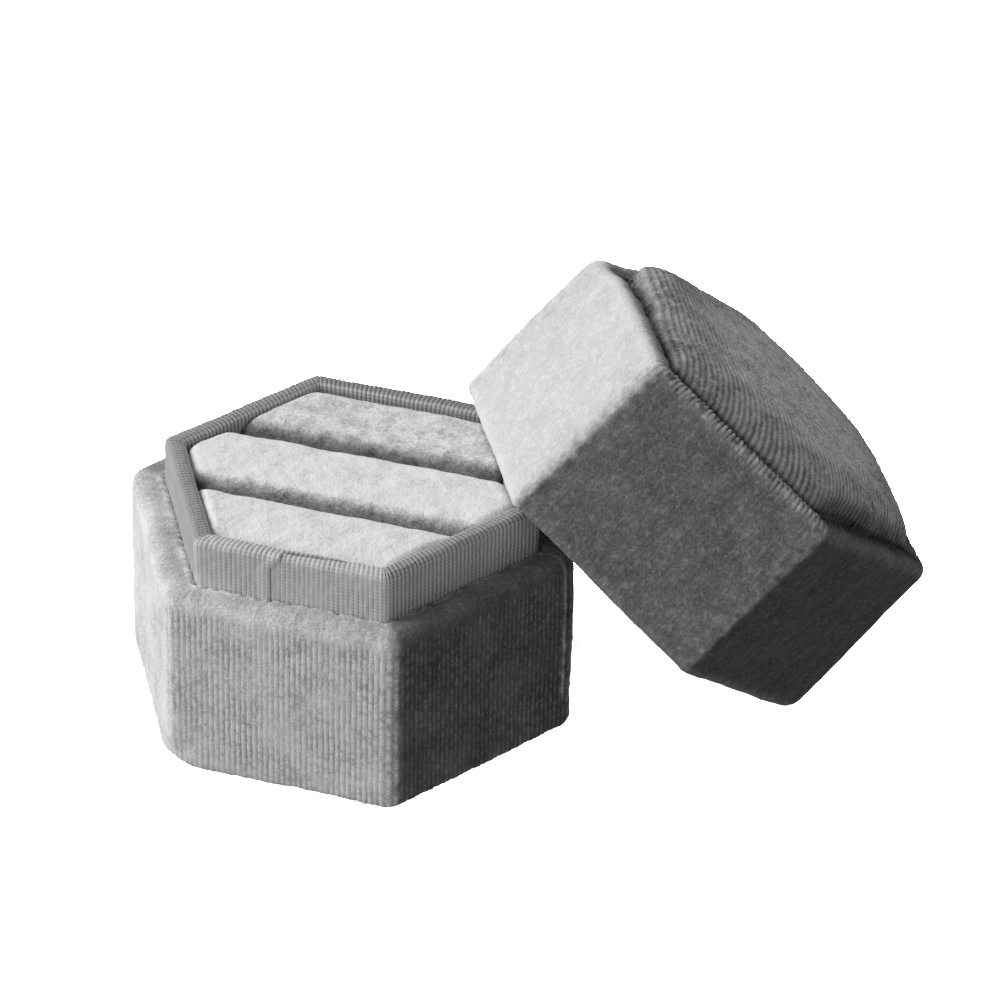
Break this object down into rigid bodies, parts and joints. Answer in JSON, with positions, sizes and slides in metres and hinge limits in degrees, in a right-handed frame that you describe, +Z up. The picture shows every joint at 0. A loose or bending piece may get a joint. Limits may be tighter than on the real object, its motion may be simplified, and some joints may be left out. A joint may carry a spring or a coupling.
{
  "type": "ring box with lift-off lid",
  "caption": "Hexagonal velvet ring box: a tub with a raised ribbon-covered neck and padded ring slots, and a padded-top lift-off lid leaning against it.",
  "frame": {"origin": "centre of the tub's underside, on the surface the box stands on", "axes": "+Z up, one flat side of the tub faces -Y, a corner points to +X, the lid leans on the side between +X and +Y"},
  "size_m": [0.0926, 0.0721, 0.0484],
  "materials": {
    "greyboard": "dense greyboard, raw",
    "card": "thin card, raw",
    "tub_velvet": "grey velvet with fine upright ribs",
    "lid_velvet": "plain grey velvet",
    "crown_velvet": "grey velvet with fine curved ribs",
    "pad_velvet": "pale grey velvet",
    "neck_ribbon": "ribbed warm grey ribbon",
    "lining": "smooth warm grey lining cloth",
    "underside_cloth": "dark grey felt",
    "foam": "open-cell foam"
  },
  "bodies": {
    "base": {"base_wall_board_1": "greyboard", "base_wall_board_2": "greyboard", "base_wall_board_3": "greyboard", "base_wall_board_4": "greyboard", "base_wall_board_5": "greyboard", "base_wall_board_6": "greyboard", "base_bottom_board": "greyboard", "base_velvet_wrap": "tub_velvet", "base_bottom_cover": "underside_cloth", "neck_board_1": "card", "neck_board_2": "card", "neck_board_3": "card", "neck_board_4": "card", "neck_board_5": "card", "neck_board_6": "card", "neck_ribbon": "neck_ribbon", "insert_platform": "card", "pad_foam_front": "foam", "pad_foam_middle": "foam", "pad_foam_back": "foam", "pad_cover_front": "pad_velvet", "pad_cover_middle": "pad_velvet", "pad_cover_back": "pad_velvet"},
    "lid": {"lid_wall_board_1": "greyboard", "lid_wall_board_2": "greyboard", "lid_wall_board_3": "greyboard", "lid_wall_board_4": "greyboard", "lid_wall_board_5": "greyboard", "lid_wall_board_6": "greyboard", "lid_top_board": "greyboard", "lid_velvet_wrap": "lid_velvet", "lid_lining": "lining", "lid_ceiling_lining": "lining", "lid_crown_card": "card", "lid_crown_foam": "foam", "lid_crown_cover": "crown_velvet"}
  },
  "joints": [
    {"name": "lid_lift", "type": "slide", "parent": "base", "child": "lid", "axis": [0, 0, 1], "range_m": [0, 0.06]}
  ]
}
